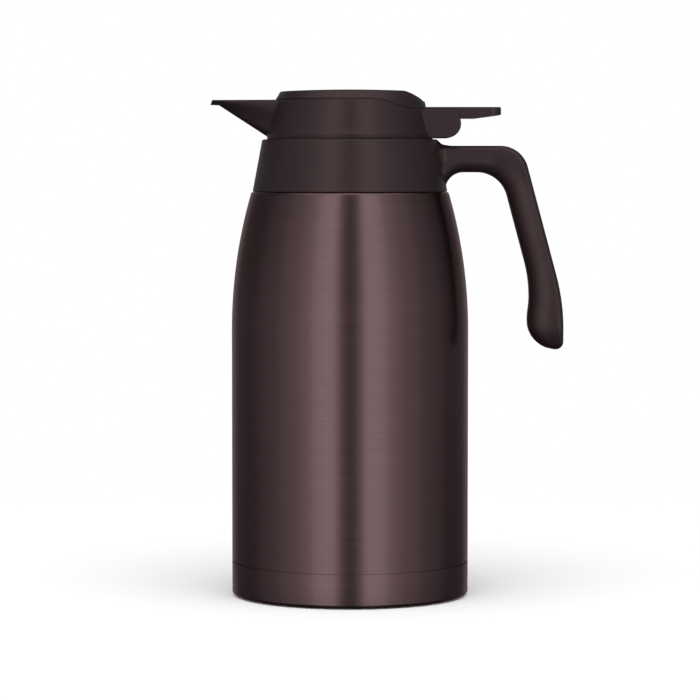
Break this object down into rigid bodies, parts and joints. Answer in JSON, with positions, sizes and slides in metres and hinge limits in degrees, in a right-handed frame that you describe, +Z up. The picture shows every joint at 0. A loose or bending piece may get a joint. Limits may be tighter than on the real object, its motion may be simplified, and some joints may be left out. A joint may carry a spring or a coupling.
{
  "type": "thermal carafe",
  "caption": "Tall double-walled steel serving carafe with a moulded collar and open-ended handle, a screw-in pouring head with a pointed spout, and a thumb-lever flip lid.",
  "frame": {"origin": "centre of the standing plane, on the body's axis", "axes": "+Z up; +X towards the handle, -X towards the spout; +Y along the lid's hinge pin"},
  "size_m": [0.2009, 0.135, 0.2884],
  "materials": {
    "brown_steel": "fine circular brushing under a warm brown clear lacquer",
    "bare_steel": "bare stainless steel, satin",
    "foil": "bright foil",
    "getter_metal": "pressed grey metal powder",
    "solder": "dull braze metal",
    "outer_plastic": "fine-grained moulded dark brown plastic",
    "inner_plastic": "smooth moulded near-black plastic",
    "foot_rubber": "soft black rubber",
    "silicone": "milky silicone rubber",
    "foam": "closed-cell insulating foam"
  },
  "bodies": {
    "carafe": {"outer_shell": "brown_steel", "base_cup": "brown_steel", "inner_bottle": "bare_steel", "reflector_foil": "foil", "getter": "getter_metal", "evacuation_seal": "solder", "base_cover": "outer_plastic", "foot_ring": "foot_rubber", "collar_handle": "outer_plastic", "handle_cover": "outer_plastic", "neck_gasket": "foot_rubber", "neck_lock_ring": "inner_plastic", "rim_washer": "silicone", "mouth_sleeve": "inner_plastic"},
    "stopper_seal": {"stopper_gasket": "silicone"},
    "stopper": {"stopper_housing": "outer_plastic", "stopper_body": "inner_plastic", "stopper_bottom": "inner_plastic", "stopper_insulation": "foam", "lid_spring": "bare_steel"},
    "lid": {"lid_cover": "outer_plastic", "lid_base": "inner_plastic", "lid_insulation": "foam", "lid_gasket": "silicone", "hinge_pin": "bare_steel"}
  },
  "joints": [
    {"name": "stopper_rise", "type": "slide", "parent": "carafe", "child": "stopper_seal", "axis": [0, 0, 1], "range_m": [0, 0.0071]},
    {"name": "stopper_turn", "type": "hinge", "parent": "stopper_seal", "child": "stopper", "pos_m": [0, 0, 0.25], "axis": [0, 0, 1], "range_deg": [0, 210]},
    {"name": "lid_flip", "type": "hinge", "parent": "stopper", "child": "lid", "pos_m": [0.0546, 0, 0.2691], "axis": [0, 1, 0], "range_deg": [0, 30], "stiffness_Nm_per_rad": 0.12, "springref_deg": -28.65, "deforming": ["lid_spring"]}
  ],
  "couplings": [
    {"joint": "stopper_rise", "follows": "stopper_turn", "m_per_rad": 0.0019099}
  ]
}
